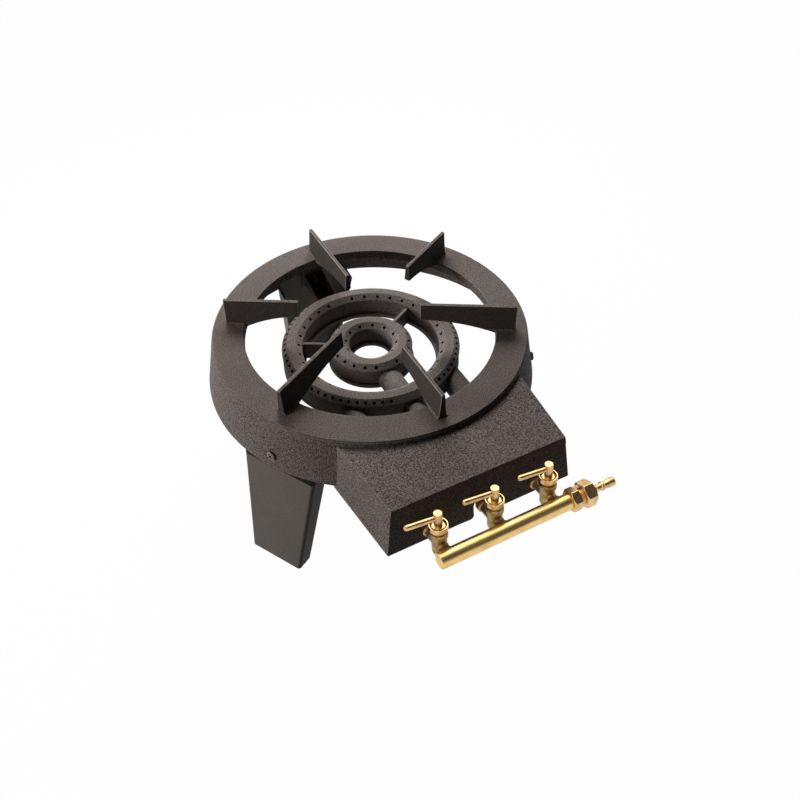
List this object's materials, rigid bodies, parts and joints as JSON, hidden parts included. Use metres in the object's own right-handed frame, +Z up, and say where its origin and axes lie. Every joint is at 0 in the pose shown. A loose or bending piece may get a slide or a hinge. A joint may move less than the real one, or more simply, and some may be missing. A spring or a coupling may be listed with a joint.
{
  "type": "outdoor gas burner",
  "caption": "Cast-iron ring burner on folded legs with pan fingers, a drafted front box and a brass manifold with lever taps and a barbed hose tail.",
  "frame": {"origin": "on the floor, under the middle of the object's outline", "axes": "+Z up, -Y to the front with the taps, +X to the side of the hose tail"},
  "size_m": [0.3864, 0.4996, 0.2308],
  "materials": {
    "cast_body": "grainy black-brown coated casting",
    "cast_burner": "grainy black-brown coated casting with machined slopes",
    "leg_paint": "satin black paint on sheet",
    "fastener_steel": "dull zinc",
    "drawn_brass": "drawn and brushed",
    "cast_brass": "rough cast, tarnished",
    "turned_brass": "turned and polished",
    "seal_rubber": "matt"
  },
  "bodies": {
    "stand": {"body": "cast_body", "burner_base": "cast_burner", "large_ring_cap": "cast_burner", "centre_ring_cap": "cast_burner", "burner_bolts": "fastener_steel", "rear_bracket": "leg_paint", "leg_left": "leg_paint", "leg_right": "leg_paint", "leg_rear": "leg_paint", "leg_screws": "fastener_steel", "leg_nuts": "fastener_steel", "manifold_tube": "drawn_brass", "manifold_plug": "drawn_brass", "tap_body_left": "cast_brass", "tap_body_middle": "cast_brass", "tap_body_right": "cast_brass", "gland_nuts": "turned_brass", "spring_washers": "fastener_steel", "lock_nuts": "turned_brass", "injectors": "turned_brass", "hose_adapter": "cast_brass", "sealing_washer": "seal_rubber", "union_nut": "turned_brass", "hose_tail": "turned_brass"},
    "left_valve": {"tap_plug_left": "turned_brass", "tap_lever_left": "turned_brass"},
    "middle_valve": {"tap_plug_middle": "turned_brass", "tap_lever_middle": "turned_brass"},
    "right_valve": {"tap_plug_right": "turned_brass", "tap_lever_right": "turned_brass"}
  },
  "joints": [
    {"name": "left_tap_turn", "type": "hinge", "parent": "stand", "child": "left_valve", "pos_m": [-0.061, -0.21414, 0.19001], "axis": [0, 0.1495, 0.9888], "range_deg": [0, 90]},
    {"name": "middle_tap_turn", "type": "hinge", "parent": "stand", "child": "middle_valve", "pos_m": [0, -0.21414, 0.19001], "axis": [0, 0.1495, 0.9888], "range_deg": [0, 90]},
    {"name": "right_tap_turn", "type": "hinge", "parent": "stand", "child": "right_valve", "pos_m": [0.061, -0.21414, 0.19001], "axis": [0, 0.1495, 0.9888], "range_deg": [0, 90]}
  ]
}
